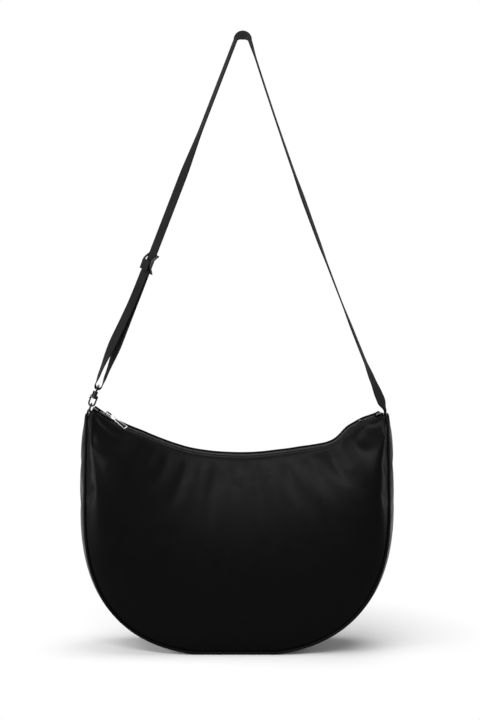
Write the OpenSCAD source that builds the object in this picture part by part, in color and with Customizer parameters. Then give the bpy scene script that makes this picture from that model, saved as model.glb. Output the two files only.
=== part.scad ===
// Half moon shoulder bag: a soft D shaped body whose zipped mouth dips between two corners,
// a webbing strap with a three bar adjuster, and a swivel snap hook clipped to a ring at the
// left corner. +Z is up, the front faces -Y, the origin is on the floor under the base's middle.

/* [Body] */
// Width over the gusset at its widest
bag_w = 393; // [370:1:420]
// Height of the widest level above the floor
hub_h = 185; // [175:1:200]
// Height of the two corners of the mouth
corner_h = 304; // [298:1:315]
// How far the seam's two upper ends lie below the corners of the mouth
corner_drop = 9; // [8:0.5:12]
// How far each corner of the mouth lies inside the widest level
corner_step = 17.5; // [16:0.5:22]
// How far the middle of the mouth dips below its corners
mouth_dip = 60; // [50:1:70]
// Depth of the base from seam to seam
base_depth = 100; // [85:1:120]
// Depth of the body at the mouth and the corners
mouth_depth = 24; // [24:0.5:30]
// How far the front and back panels swell past a straight side
panel_crown = 22; // [10:1:30]
// How far the gusset swells outside the seam
gusset_bulge = 7; // [3:0.5:10]
// How squarely the left side turns into the base, where 2 is an ellipse
left_squareness = 2.6; // [2.3:0.05:2.8]
// How squarely the right side turns into the base
right_squareness = 2.5; // [2.3:0.05:2.8]
// Share of the floor level that the rounded outline reaches past it, which makes the flat base
base_flat_share = 0.002; // [0:0.002:0.02]
// Thickness of the shell's coated fabric
shell_t = 1.6; // [1.2:0.1:2]
// Radius of the piping in the two seams
piping_r = 2; // [1.6:0.1:2.4]
// Gap between sewn soft pieces that lie side by side
soft_gap = 0.3; // [0.25:0.05:0.4]

/* [Zip] */
// Angle by which the zip leans towards the front
zip_lean = 10; // [4:1:14]
// Width of each coil half
coil_w = 2.3; // [2:0.1:2.6]
// Height of the coil on its tape
coil_t = 1.6; // [1.4:0.1:1.8]
// Half of the slit between the two coil halves
coil_slit = 0.7; // [0.65:0.05:0.8]
// Thickness of the zip tape
tape_t = 0.8; // [0.6:0.1:0.9]
// Length of the zip slider
slider_l = 14; // [12:0.5:15]
// Width of the zip slider
slider_w = 10; // [9:0.5:11]
// Length of zip from the left corner of the mouth to the middle of the closed slider
closed_end_l = 19.3; // [18.5:0.1:23]
// Length of zip from the right corner of the mouth to the middle of the open slider
open_end_l = 38.8; // [38.8:0.2:80]
// Thickness of the slider's two plates
slider_plate_t = 1.2; // [1:0.1:1.4]
// Running clearance of the slider round the coil and tape
slider_gap = 0.4; // [0.35:0.05:0.5]
// Length of the puller from its bar to its tip
puller_l = 29; // [22:1:30]
// Width of the puller's fork
puller_w = 7; // [7:0.1:7.6]
// Width of the puller's tip
puller_tip_w = 8; // [6:0.5:9]
// Thickness of the puller
puller_t = 1.2; // [1:0.1:1.3]
// Angle by which the puller lies to the front of the zip
puller_turn = 15; // [0:1:15]
// Angle by which the puller's face tips forward
puller_tip_angle = 22; // [0:1:22]

/* [Ring and hook] */
// Radius of the ring's wire
ring_wire_r = 1.1; // [1:0.05:1.2]
// Radius of the ring's round half, on the wire's centre line
ring_arc_r = 8.8; // [8.6:0.1:9.4]
// Lean of the ring along the strap's pull
ring_lean = 20; // [12:1:22]
// Length of the ring's two short straight sides
ring_side = 1.2; // [1:0.1:1.6]
// Radius of the hook's limbs
limb_r = 1.2; // [1.1:0.05:1.25]
// Inner radius of the hook's round end
hook_inner_r = 2.6; // [2.5:0.05:2.9]
// Length of the hook's straight limb
limb_l = 8.25; // [8:0.25:9]
// Radius of the hook's barrel
barrel_r = 2.8; // [2.6:0.1:3]
// Height of the hook's barrel
barrel_h = 7; // [6:0.25:7]
// Radius of the swivel stem
stem_r = 1.3; // [1.2:0.05:1.4]
// Radius of the gate's pin
pin_r = 0.5; // [0.45:0.01:0.55]
// Radial clearance of pins, stems and bars that turn
turn_gap = 0.05; // [0.03:0.01:0.09]
// Distance from the hook's round end to the webbing bar of the eye
eye_reach = 21.6; // [21:0.2:23]
// Radius of the eye's webbing bar
eye_bar_r = 1.5; // [1.3:0.1:1.6]

/* [Strap] */
// Width of the webbing
webbing_w = 20; // [18:0.5:22]
// Thickness of the webbing
webbing_t = 1.3; // [1.1:0.1:1.5]
// Height of the strap's top bend above the floor
strap_h = 767; // [700:5:850]
// Sideways place of the strap's top bend
apex_shift = 7; // [0:1:12]
// Radius of the strap's top bend
apex_r = 9.5; // [8:0.5:12]
// Half of the width of the loop round the eye
loop_r = 4.2; // [4:0.1:4.6]
// Angle by which the right run turns outwards at each end
right_sag_angle = 2.6; // [1:0.2:4]
// Twist of the left run where the adjuster slides
left_twist = 29; // [15:1:30]
// Width of the webbing where it is gathered into the right corner
gathered_w = 6.8; // [6:0.2:7.4]

/* [Adjuster] */
// Distance of the adjuster from the loop's bend, along the strap
adjuster_place = 167; // [150:1:175]
// Length of the adjuster along the strap
adjuster_l = 25; // [24:0.5:27]
// Width of the adjuster's side rails
rail_w = 2.4; // [2:0.1:2.8]
// Thickness of the adjuster's bars
bar_t = 2; // [1.8:0.1:2.2]
// Clearance of the webbing in the adjuster
adjuster_gap = 0.35; // [0.3:0.05:0.45]

/* [Lining] */
// Thickness of the lining
lining_t = 0.6; // [0.4:0.1:0.8]
// Width of the inner slip pocket
pocket_w = 170; // [120:5:200]
// Height of the inner slip pocket's bag
pocket_h = 110; // [90:5:120]

/* [Hidden] */
$fn = 48;

cloth_colour = "#232324";
inside_colour = "#3a3a3c";
metal_colour = "#4a4a4d";
webbing_colour = "#2c2c2e";

// The seam's outline, seen from the front, in polar form round the hub
seam_half_w = bag_w / 2 - gusset_bulge;
seam_end_h = corner_h - corner_drop;
low_reach = hub_h * (1 + base_flat_share);
upper_reach_shares = 4.8;
upper_reach = seam_half_w * upper_reach_shares;
seam_low = piping_r + soft_gap;
end_rise = seam_end_h - hub_h;
seam_end_x = seam_half_w * sqrt(1 - pow(end_rise / upper_reach, 2));
end_angle = atan2(end_rise, seam_end_x);
around = 52;
function reach(phi) =
    let (across = abs(cos(phi)) / seam_half_w, square = cos(phi) < 0 ? left_squareness : right_squareness)
    sin(phi) < 0
        ? pow(pow(across, square) + pow(abs(sin(phi)) / low_reach, square), -1 / square)
        : pow(pow(across, 2) + pow(sin(phi) / upper_reach, 2), -1 / 2);
function seam_phi(s) = 180 - end_angle + s * (180 + 2 * end_angle);
function seam_at(s, inwards = 0) =
    let (phi = seam_phi(s), r = reach(phi) - inwards)
    [r * cos(phi), max(hub_h + r * sin(phi), seam_low + inwards)];

// Half of the body's depth at a height on the seam
base_half = base_depth / 2;
mouth_half = mouth_depth / 2;
taper_power = 2.2;
function half_depth(z) =
    mouth_half + (base_half - mouth_half) * (1 - pow(min(1, max(0, z / seam_end_h)), taper_power));

// The mouth is an arc about a centre above the bag, and the zip slider runs round it
mouth_half_w = bag_w / 2 - corner_step;
mouth_r = (pow(mouth_half_w, 2) + pow(mouth_dip, 2)) / (2 * mouth_dip);
mouth_centre_h = corner_h - mouth_dip + mouth_r;
mouth_angle = asin(mouth_half_w / mouth_r);
band_half = mouth_half / cos(zip_lean);
chain_r = mouth_r + mouth_half * tan(zip_lean);
front_edge_r = chain_r + band_half * sin(zip_lean);
back_edge_r = chain_r - band_half * sin(zip_lean);
function zip_angle(l) = l / chain_r * 180 / PI;
function mouth_at(s, r) =
    let (psi = mouth_angle * (2 * s - 1))
    [r * sin(psi), mouth_centre_h - r * cos(psi)];

// Front panel: rows run from the seam up to the mouth, columns round the seam
panel_rows = 12;
crown_power = 6;
function swell(s, v) = sin(180 * pow(v, crown_lift)) * (1 - pow(abs(2 * s - 1), crown_power));
crown_lift = 0.85;
function panel_point(s, v, side, inset = 0, edge = 0) =
    let (foot = seam_at(s, piping_r + soft_gap + edge),
         head = mouth_at(s, (side < 0 ? front_edge_r : back_edge_r) + edge),
         xz = foot + (head - foot) * v,
         deep = half_depth(foot[1]) * (1 - v) + mouth_half * v + panel_crown * swell(s, v))
    [xz[0], side * (deep - inset), xz[1]];
function panel_grid(side, inset, edge = 0) =
    [for (i = [0:around]) [for (j = [0:panel_rows])
        panel_point(i / around, j / panel_rows, side, inset, edge)]];

// Gusset: columns round the seam, rows from the front seam to the back one
gusset_rows = 8;
bulge_power = 2.6;
bulge_fade = 0.06;
bulge_end_share = 0.25;
function gusset_point(s, w, inset) =
    let (seam = seam_at(s), phi = seam_phi(s),
         fade = min(1, s / bulge_fade, (1 - s) / bulge_fade),
         bulge = gusset_bulge * sin(90 * (bulge_end_share + (1 - bulge_end_share) * fade)),
         out = bulge * (1 - pow(abs(w), bulge_power)) - inset,
         half = half_depth(seam[1]) - piping_r - soft_gap)
    [seam[0] + out * cos(phi), w * half, max(seam[1] + out * sin(phi), inset)];
function gusset_grid(inset, squeeze = 0) =
    [for (i = [0:around]) [for (j = [0:gusset_rows])
        let (w = 2 * j / gusset_rows - 1) gusset_point(i / around, w, inset)
            - [0, sign(w) * squeeze, 0]]];

// A closed solid between two grids of points that face each other
module sheet(outer, inner) {
    m = len(outer);
    n = len(outer[0]);
    total = m * n;
    points = concat([for (row = outer) each row], [for (row = inner) each row]);
    function at(i, j, k) = k * total + i * n + j;
    skins = [for (i = [0:m - 2]) for (j = [0:n - 2])
        each [[at(i, j, 0), at(i + 1, j, 0), at(i + 1, j + 1, 0)],
              [at(i, j, 0), at(i + 1, j + 1, 0), at(i, j + 1, 0)],
              [at(i, j, 1), at(i + 1, j + 1, 1), at(i + 1, j, 1)],
              [at(i, j, 1), at(i, j + 1, 1), at(i + 1, j + 1, 1)]]];
    long_edges = [for (i = [0:m - 2])
        each [[at(i, 0, 0), at(i, 0, 1), at(i + 1, 0, 1)], [at(i, 0, 0), at(i + 1, 0, 1), at(i + 1, 0, 0)],
              [at(i, n - 1, 0), at(i + 1, n - 1, 1), at(i, n - 1, 1)],
              [at(i, n - 1, 0), at(i + 1, n - 1, 0), at(i + 1, n - 1, 1)]]];
    short_edges = [for (j = [0:n - 2])
        each [[at(0, j, 0), at(0, j + 1, 1), at(0, j, 1)], [at(0, j, 0), at(0, j + 1, 0), at(0, j + 1, 1)],
              [at(m - 1, j, 0), at(m - 1, j, 1), at(m - 1, j + 1, 1)],
              [at(m - 1, j, 0), at(m - 1, j + 1, 1), at(m - 1, j + 1, 0)]]];
    polyhedron(points = points, faces = concat(skins, long_edges, short_edges), convexity = 6);
}

// A tube or band through rings of points, closed at both ends
module swept(rings) {
    m = len(rings);
    n = len(rings[0]);
    walls = [for (i = [0:m - 2]) for (j = [0:n - 1])
        each [[i * n + j, (i + 1) * n + (j + 1) % n, (i + 1) * n + j],
              [i * n + j, i * n + (j + 1) % n, (i + 1) * n + (j + 1) % n]]];
    caps = [[for (j = [0:n - 1]) n - 1 - j], [for (j = [0:n - 1]) (m - 1) * n + j]];
    polyhedron(points = [for (r = rings) each r], faces = concat(walls, caps), convexity = 6);
}

module front_panel() {
    color(cloth_colour) sheet(panel_grid(-1, 0), panel_grid(-1, shell_t));
}

module back_panel() {
    color(cloth_colour) sheet(panel_grid(1, shell_t), panel_grid(1, 0));
}

module gusset() {
    color(cloth_colour) sheet(gusset_grid(shell_t), gusset_grid(0));
}

// Piping: a round cord along one seam
piping_sides = 8;
function piping_ring(s, side) =
    let (seam = seam_at(s), phi = seam_phi(s), half = half_depth(seam[1]))
    [for (k = [0:piping_sides - 1])
        let (turn = 360 * (k + 1 / 2) / piping_sides,
             out = piping_r * cos(turn), along_y = piping_r * sin(turn))
        [seam[0] + out * cos(phi), side * half + along_y, seam[1] + out * sin(phi)]];
module piping(side) {
    color(cloth_colour) swept([for (i = [0:around]) piping_ring(i / around, side)]);
}
module front_piping() { piping(-1); }
module back_piping() { piping(1); }

// A section drawn as [across, up] on the zip, swept round the mouth's centre
zip_fn = 360;
module zip_arc(from_angle, to_angle) {
    translate([0, 0, mouth_centre_h]) rotate([-90, 0, 0]) rotate([0, 0, 90 - to_angle])
        rotate_extrude(angle = to_angle - from_angle, $fn = zip_fn)
            translate([chain_r, 0]) rotate([0, 0, 90 + zip_lean]) children();
}
// Places children at an angle on the zip, with x along it, y across it and z out of the bag
module at_zip(psi) {
    translate([chain_r * sin(psi), 0, mouth_centre_h - chain_r * cos(psi)])
        rotate([0, -psi, 0]) rotate([zip_lean, 0, 0]) children();
}

tape_inner = coil_slit + slider_gap;
tab_cover = 8.35;
tape_outer = band_half - shell_t - soft_gap * 2;
tape_end_angle = mouth_angle - zip_angle(tab_cover);
module zip_half(side, inner, outer, low, high) {
    zip_arc(-tape_end_angle, tape_end_angle)
        translate([side < 0 ? -outer : inner, low]) square([outer - inner, high - low]);
}
module tape(side) {
    color(cloth_colour) zip_half(side, tape_inner, tape_outer, -tape_t / 2, tape_t / 2);
}
module front_zip_tape() { tape(-1); }
module back_zip_tape() { tape(1); }
coil_outer = coil_slit + coil_w;
coil_top = tape_t / 2 + coil_t;
module coil(side) {
    color(inside_colour) zip_half(side, coil_slit, coil_outer, tape_t / 2, coil_top);
}
module front_zip_coil() { coil(-1); }
module back_zip_coil() { coil(1); }

// Stops: one block over each end of the coil
stop_l = 2.4;
stop_t = 0.8;
stop_gap = 0.6;
slider_angle = zip_angle(closed_end_l) - mouth_angle;
open_angle = mouth_angle - zip_angle(open_end_l);
stop_reach = zip_angle(slider_l / 2 + stop_gap + stop_l / 2);
module zip_stops() {
    color(metal_colour) for (psi = [slider_angle - stop_reach, open_angle + stop_reach])
        at_zip(psi) translate([-stop_l / 2, -coil_outer, coil_top])
            cube([stop_l, 2 * coil_outer, stop_t]);
}

// Zip slider: two plates joined by the post that parts the coil, flanges, and a bridge on top
plate_low = coil_top + slider_gap;
slider_top = plate_low + slider_plate_t;
base_high = -tape_t / 2 - slider_gap;
flange_t = 1.3;
post_gap_share = 0.75;
post_half = coil_slit - slider_gap * post_gap_share;
post_l = 3;
bridge_w = 2;
bridge_l = 6.6;
bridge_wire = 1.1;
pivot_r = 0.7;
pivot_rise = 2.1;
pivot_h = slider_top + pivot_rise;
bar_room = bridge_w / 2 * tan(puller_tip_angle) + pivot_r / cos(puller_tip_angle) + slider_gap / 3;
bridge_high = pivot_h + bar_room + bridge_wire;
module zip_slider() {
    color(metal_colour) at_zip(slider_angle) {
        translate([-slider_l / 2, -slider_w / 2, plate_low]) cube([slider_l, slider_w, slider_plate_t]);
        translate([-slider_l / 2, -slider_w / 2, base_high - slider_plate_t])
            cube([slider_l, slider_w, slider_plate_t]);
        translate([slider_l / 2 - post_l, -post_half, base_high - slider_plate_t])
            cube([post_l, 2 * post_half, plate_low + slider_plate_t - base_high + slider_plate_t / 2]);
        for (side = [-1, 1])
            translate([-slider_l / 2, side < 0 ? -slider_w / 2 : slider_w / 2 - flange_t,
                       tape_t / 2 + slider_gap])
                cube([slider_l, flange_t, plate_low - tape_t / 2]);
        difference() {
            translate([-bridge_l / 2, -bridge_w / 2, slider_top])
                cube([bridge_l, bridge_w, bridge_high - slider_top]);
            translate([-bridge_l / 2 + bridge_wire, -bridge_w, slider_top])
                cube([bridge_l - 2 * bridge_wire, 2 * bridge_w, bridge_high - bridge_wire - slider_top]);
        }
    }
}

// Puller: a bar under the bridge, two arms, a neck and an open tab that widens to its tip
puller_rest_drop = 1;
arm_l = 6;
arm_w = 0.8;
neck_w = 4.6;
neck_at = 10;
puller_corner_r = 1.3;
puller_rim = 1.4;
module puller_tab(inwards) {
    hull() {
        translate([neck_at + inwards, 0]) circle(d = neck_w - 2 * inwards);
        for (side = [-1, 1])
            translate([puller_l - puller_corner_r, side * (puller_tip_w / 2 - puller_corner_r)])
                circle(r = max(puller_corner_r - inwards, puller_corner_r / 4));
    }
}
module zip_puller() {
    color(metal_colour) at_zip(slider_angle) translate([0, 0, pivot_h])
        rotate([0, 0, -puller_turn]) rotate([puller_tip_angle, 0, 0]) rotate([0, puller_rest_drop, 0]) {
            rotate([90, 0, 0]) cylinder(r = pivot_r, h = puller_w, center = true);
            translate([0, 0, -puller_t / 2]) linear_extrude(puller_t) {
                for (side = [-1, 1])
                    translate([0, side < 0 ? -puller_w / 2 : puller_w / 2 - arm_w]) square([arm_l, arm_w]);
                hull() {
                    translate([arm_l - arm_w, -puller_w / 2]) square([arm_w, puller_w]);
                    translate([neck_at, 0]) circle(d = neck_w);
                }
                difference() {
                    puller_tab(0);
                    puller_tab(puller_rim);
                }
            }
        }
}

// The corner between the seam's end and the mouth's end, left side, seen from the front
corner_foot = [-seam_end_x, seam_end_h];
corner_head = [-mouth_half_w, corner_h];
corner_run = corner_head - corner_foot;
corner_dir = corner_run / norm(corner_run);
tab_place = 3.5;
tab_foot = corner_foot + corner_dir * tab_place;
tab_t = 1;
tab_half_w = ring_arc_r - ring_wire_r - soft_gap;
tab_rise = 2;
bar_at = tab_foot + [0, tab_rise];
ring_axis = [sin(ring_lean), cos(ring_lean)];
arc_at = bar_at + ring_axis * ring_side;
ring_top = arc_at + ring_axis * ring_arc_r;

// Ring tab: a strip folded round the ring's bar, its two plies running down into the corner
tab_gap = 0.15;
tab_inner_r = ring_wire_r + tab_gap;
tab_depth = 9;
module ring_tab() {
    color(webbing_colour) translate([bar_at[0], 0, bar_at[1]]) rotate([90, 0, 0])
        translate([0, 0, -tab_half_w]) linear_extrude(2 * tab_half_w) {
            difference() {
                circle(r = tab_inner_r + tab_t);
                circle(r = tab_inner_r);
                translate([-tab_inner_r - 2 * tab_t, -tab_depth])
                    square([2 * tab_inner_r + 4 * tab_t, tab_depth]);
            }
            for (side = [-1, 1])
                translate([side < 0 ? -tab_inner_r - tab_t : tab_inner_r, -tab_depth])
                    square([tab_t, tab_depth]);
        }
}

// D ring: round half, two short sides and the bar, leaning along the pull
module d_ring() {
    color(metal_colour) translate([bar_at[0], 0, bar_at[1]]) rotate([0, ring_lean, 0]) {
        rotate([90, 0, 0]) cylinder(r = ring_wire_r, h = 2 * ring_arc_r, center = true);
        for (side = [-1, 1]) translate([0, side * ring_arc_r, 0]) {
            sphere(r = ring_wire_r);
            cylinder(r = ring_wire_r, h = ring_side);
        }
        translate([0, 0, ring_side]) rotate([0, -90, 0]) rotate([0, 0, -90])
            rotate_extrude(angle = 180) translate([ring_arc_r, 0]) circle(r = ring_wire_r);
    }
}

// The swing axis of the strap runs along X through the ring's centre and the right corner
right_foot = [-tab_foot[0], tab_foot[1]];
swing_h = arc_at[1];
knuckle_at = [right_foot[0], swing_h];

// Strap: the left run is a straight line that touches the top bend
bend_at = [apex_shift, strap_h - apex_r];
to_bend = bend_at - ring_top;
lean = atan2(to_bend[0], to_bend[1]) - asin((apex_r + loop_r) / norm(to_bend));
up = [sin(lean), cos(lean)];
out = [cos(lean), -sin(lean)];
hook_seat = 0.45;
hook_at = ring_top + up * (hook_inner_r - ring_wire_r - hook_seat);
eye_at = ring_top + up * (hook_inner_r - ring_wire_r - hook_seat + eye_reach);
eye_seat = 0.3;
loop_rise = loop_r - webbing_t / 2 - eye_seat - eye_bar_r;
loop_at = eye_at + up * loop_rise;
left_run_l = (bend_at - loop_at) * up;

// Places children in the hook's frame: z up the strap, x outwards, y to the back
module in_chain(place) {
    translate([place[0], 0, place[1]]) rotate([0, lean, 0]) children();
}

// Hook body: barrel, shoulder, ears, one long limb, the round end and a short tip
barrel_low = limb_l;
shoulder_r = 2.3;
shoulder_left = 0.1;
shoulder_right = 3;
tip_l = 2;
limb_x = hook_inner_r + limb_r;
ear_half = 2.3;
ear_t = 1;
ear_r = 1.4;
gate_root_r = 1.15;
recess_high = barrel_low + barrel_h / 8;
gate_room = 1.6;
module hook_body() {
    color(metal_colour) in_chain(hook_at) {
        difference() {
            union() {
                translate([0, 0, barrel_low - shoulder_r])
                    cylinder(r = barrel_r, h = barrel_h + shoulder_r);
                hull() for (x = [shoulder_left, shoulder_right])
                    translate([x, 0, barrel_low]) sphere(r = shoulder_r, $fn = 24);
                for (side = [-1, 1])
                    translate([-limb_x, side < 0 ? -ear_half : ear_half - ear_t, barrel_low]) ear();
            }
            cylinder(r = stem_r + turn_gap, h = 3 * limb_l);
            cylinder(r = head_r + turn_gap, h = recess_high);
            translate([-limb_x - 2 * ear_r, ear_t - ear_half, 0])
                cube([limb_x + 2 * ear_r - gate_room, 2 * (ear_half - ear_t), barrel_low + gate_room]);
            translate([-limb_x, 0, barrel_low]) rotate([90, 0, 0])
                cylinder(r = pin_r, h = 4 * ear_half, center = true);
        }
        translate([limb_x, 0, 0]) cylinder(r = limb_r, h = barrel_low);
        rotate([90, 0, 0]) rotate([0, 0, 180])
            rotate_extrude(angle = 180) translate([limb_x, 0]) circle(r = limb_r);
        translate([-limb_x, 0, 0]) cylinder(r = limb_r, h = tip_l);
    }
}
module ear() {
    rotate([-90, 0, 0]) cylinder(r = ear_r, h = ear_t);
    cube([limb_x - stem_r - 2 * turn_gap, ear_t, barrel_h]);
}

// Gate: a lever between the ears that closes the hook's mouth
gate_gap = 0.25;
gate_half = ear_half - ear_t - gate_gap / 2;
gate_t = 2;
spring_half = 0.65;
nib_r = 0.9;
gate_l = barrel_low - tip_l - gate_gap;
module hook_gate() {
    color(metal_colour) in_chain(hook_at) translate([-limb_x, 0, barrel_low]) difference() {
        union() {
            rotate([90, 0, 0]) cylinder(r = gate_root_r, h = 2 * gate_half, center = true);
            translate([-gate_t / 2, -gate_half, -gate_l]) cube([gate_t, 2 * gate_half, gate_l]);
            translate([-gate_t / 2, 0, -gate_l / 2]) rotate([90, 0, 0])
                cylinder(r = nib_r, h = 2 * gate_half, center = true);
        }
        rotate([90, 0, 0]) cylinder(r = pin_r + turn_gap, h = 3 * gate_half, center = true);
        translate([-2 * gate_t, -spring_half, -gate_root_r - gate_gap])
            cube([4 * gate_t, 2 * spring_half, 2 * gate_root_r + 2 * gate_gap]);
    }
}

module gate_pin() {
    color(metal_colour) in_chain(hook_at) translate([-limb_x, 0, barrel_low]) rotate([90, 0, 0])
        cylinder(r = pin_r, h = 2 * ear_half, center = true);
}

// Gate spring: three turns of fine wire round the pin
spring_wire_r = 0.14;
spring_turns = 3;
spring_steps = 12;
spring_sides = 6;
spring_gap = 0.08;
spring_r = pin_r + turn_gap + spring_wire_r + spring_gap;
spring_l = 2 * (spring_half - spring_wire_r - spring_gap);
module gate_spring() {
    color("silver") in_chain(hook_at) translate([-limb_x, 0, barrel_low])
        swept([for (i = [0:spring_turns * spring_steps])
            let (turn = 360 * i / spring_steps,
                 along = spring_l * (i / (spring_turns * spring_steps) - 1 / 2))
            [for (k = [0:spring_sides - 1])
                let (a = 360 * k / spring_sides, r = spring_r + spring_wire_r * cos(a))
                [r * cos(turn), along - spring_wire_r * sin(a), r * sin(turn)]]]);
}

// Swivel eye: the webbing bar, two sides, the lower bar, and the stem with its riveted head
head_r = 1.9;
head_t = 0.9;
head_high = recess_high - head_t - turn_gap;
eye_side_r = 1.2;
eye_edge_gap = 0.5;
eye_half_w = webbing_w / 2 + eye_edge_gap + eye_side_r;
eye_low = barrel_low + barrel_h + eye_side_r + eye_edge_gap / 2;
module swivel_eye() {
    color(metal_colour) in_chain(hook_at) {
        for (side = [-1, 1]) translate([0, side * eye_half_w, eye_low]) {
            cylinder(r = eye_side_r, h = eye_reach - eye_low);
            sphere(r = eye_side_r);
            translate([0, 0, eye_reach - eye_low]) sphere(r = eye_bar_r);
        }
        translate([0, 0, eye_low]) rotate([90, 0, 0])
            cylinder(r = eye_side_r, h = 2 * eye_half_w, center = true);
        translate([0, 0, eye_reach]) rotate([90, 0, 0])
            cylinder(r = eye_bar_r, h = 2 * eye_half_w, center = true);
        translate([0, 0, head_high]) cylinder(r = stem_r, h = eye_low - head_high);
        translate([0, 0, head_high]) cylinder(r = head_r, h = head_t);
    }
}

// Strap webbing: one band from the bend round the eye, up the left run, over the top bend and
// down the right run to the corner. Each station is [x, z, heading from straight up, twist,
// width, thickness]
knuckle_run = knuckle_at - bend_at;
knuckle_span = norm(knuckle_run);
knuckle_angle = atan2(knuckle_run[0], -knuckle_run[1]);
right_angle = knuckle_angle - right_sag_angle - asin(apex_r * cos(right_sag_angle) / knuckle_span);
right_start = bend_at + apex_r * [cos(right_angle), sin(right_angle)];
right_chord = norm(knuckle_at - right_start);
right_r = right_chord / (2 * sin(right_sag_angle));
right_l = right_chord;
left_twist_shares = [[0, 0], [0.03, 0.3], [0.13, 1], [0.60, 1], [0.76, 0.46], [1, 0.43]];
apex_twist = 34;
right_twist_shares = [[0, 0.35], [0.05, 0.13], [0.2, 0.13], [0.34, 0.2], [0.42, 0.38],
                      [0.53, 0.3], [0.6, 0.13], [0.7, 0.08], [0.78, 0.23], [0.86, 0.27],
                      [0.915, 0.6], [0.958, 0.9], [0.98, 0.9], [1, 0]];
gather_shares = [[0, 1], [0.945, 1], [0.976, 0], [1, 0]];
knuckle_r = gathered_w / 2;
knuckle_sunk_share = 1 / 3;
knuckle_share = 1 - knuckle_sunk_share * knuckle_r / right_chord;
loop_steps = 10;
left_steps = 26;
apex_steps = 10;
right_steps = 26;
function loop_station(f) =
    let (b = 180 + 180 * f)
    concat(loop_at + loop_r * (cos(b) * out + sin(b) * up),
           [lean + 180 * (1 - f), 0, webbing_w, webbing_t]);
function left_station(f) =
    concat(loop_at + loop_r * out + up * left_run_l * f,
           [lean, left_twist * lookup(f, left_twist_shares), webbing_w, webbing_t]);
left_end_twist = left_twist * lookup(1, left_twist_shares);
right_end_twist = apex_twist * lookup(0, right_twist_shares);
function apex_station(f) =
    let (a = (180 - lean) * (1 - f) + right_angle * f,
         hump = sin(180 * f),
         level = left_end_twist * (1 - f) + right_end_twist * f)
    concat(bend_at + apex_r * [cos(a), sin(a)],
           [180 - a, level + (apex_twist - level) * hump, webbing_w, webbing_t]);
function right_station(f) =
    let (a = right_angle + 2 * right_sag_angle * f,
         spread = lookup(f, gather_shares),
         centre = right_start + right_r * [cos(right_angle), sin(right_angle)])
    concat(centre - right_r * [cos(a), sin(a)],
           [180 - a, apex_twist * lookup(f, right_twist_shares),
            gathered_w + (webbing_w - gathered_w) * spread, 2 * webbing_t - webbing_t * spread]);
function station_ring(st) =
    let (across = [cos(st[2]), 0, -sin(st[2])],
         wide = [-sin(st[3]) * across[0], cos(st[3]), -sin(st[3]) * across[2]],
         thick = [cos(st[3]) * across[0], sin(st[3]), cos(st[3]) * across[2]],
         centre = [st[0], 0, st[1]])
    [for (c = [[-1, -1], [1, -1], [1, 1], [-1, 1]])
        centre + wide * (c[0] * st[4] / 2) + thick * (c[1] * st[5] / 2)];
strap_stations = concat(
    [for (i = [0:loop_steps]) loop_station(i / loop_steps)],
    [for (i = [1:left_steps]) left_station(i / left_steps)],
    [for (i = [1:apex_steps]) apex_station(i / apex_steps)],
    [for (i = [1:right_steps]) right_station(i / right_steps * knuckle_share)]);
module strap_webbing() {
    color(webbing_colour) {
        swept([for (st = strap_stations) station_ring(st)]);
        translate([knuckle_at[0], 0, knuckle_at[1]]) rotate([0, 90, 0])
            cylinder(r = knuckle_r, h = 2 * webbing_t, center = true);
    }
}

// Strap tail: the strap's end that is sewn into the right corner, up to the knuckle's seat
tail_depth = 9;
seat_drop_share = 0.75;
module strap_tail() {
    color(webbing_colour) difference() {
        translate([right_foot[0] - webbing_t, -knuckle_r, right_foot[1] - tail_depth])
            cube([2 * webbing_t, 2 * knuckle_r, tail_depth + knuckle_r]);
        translate([knuckle_at[0], 0, knuckle_at[1]]) rotate([0, 90, 0])
            cylinder(r = knuckle_r + soft_gap, h = 4 * webbing_t, center = true);
        translate([right_foot[0] - 2 * webbing_t, -2 * knuckle_r,
                   knuckle_at[1] - seat_drop_share * knuckle_r])
            cube([4 * webbing_t, 4 * knuckle_r, knuckle_r * 2]);
    }
}

// Returning strand: leaves the loop's left side and closes in on the main run at the adjuster
ply_gap = 0.1;
strand_gap = webbing_t + adjuster_gap + ply_gap;
strand_shares = [[0, 0], [0.1, 0.01], [0.22, 0.06], [0.4, 0.32],
                 [0.55, 0.62], [0.7, 0.87], [0.84, 0.97], [1, 1]];
strand_l = adjuster_place - adjuster_l / 2 - soft_gap;
strand_steps = 16;
function strand_station(f) =
    let (place = strand_l * f, side = -loop_r + (2 * loop_r - strand_gap) * lookup(f, strand_shares),
         twist = left_twist * lookup(place / left_run_l, left_twist_shares))
    concat(loop_at + side * out + up * place, [lean, twist, webbing_w, webbing_t]);
module loop_strand() {
    color(webbing_colour)
        swept([for (i = [0:strand_steps]) station_ring(strand_station(i / strand_steps))]);
}

// Adjuster frame: two outer bars in front of the webbing, the centre bar behind it
module in_adjuster() {
    in_chain(loop_at + loop_r * out + up * adjuster_place) rotate([0, 0, left_twist]) children();
}
slot_half_w = webbing_w / 2 + adjuster_gap;
outer_bar_x = webbing_t / 2 + adjuster_gap + bar_t / 2;
stub_x = -webbing_t - adjuster_gap;
centre_bar_x = stub_x - webbing_t / 2 - ply_gap - bar_t / 2;
outer_bar_z = adjuster_l / 2 - bar_t / 2;
module adjuster_frame() {
    color("#1d1d1e") in_adjuster() {
        for (side = [-1, 1]) {
            translate([outer_bar_x, 0, side * outer_bar_z]) rotate([90, 0, 0])
                cylinder(r = bar_t / 2, h = 2 * slot_half_w + rail_w, center = true);
            translate([0, side * (slot_half_w + rail_w / 2), 0]) rotate([90, 0, 0])
                linear_extrude(rail_w, center = true) rail_outline();
        }
        translate([centre_bar_x, 0, 0]) rotate([90, 0, 0])
            cylinder(r = bar_t / 2, h = 2 * slot_half_w + rail_w, center = true);
    }
}
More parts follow.
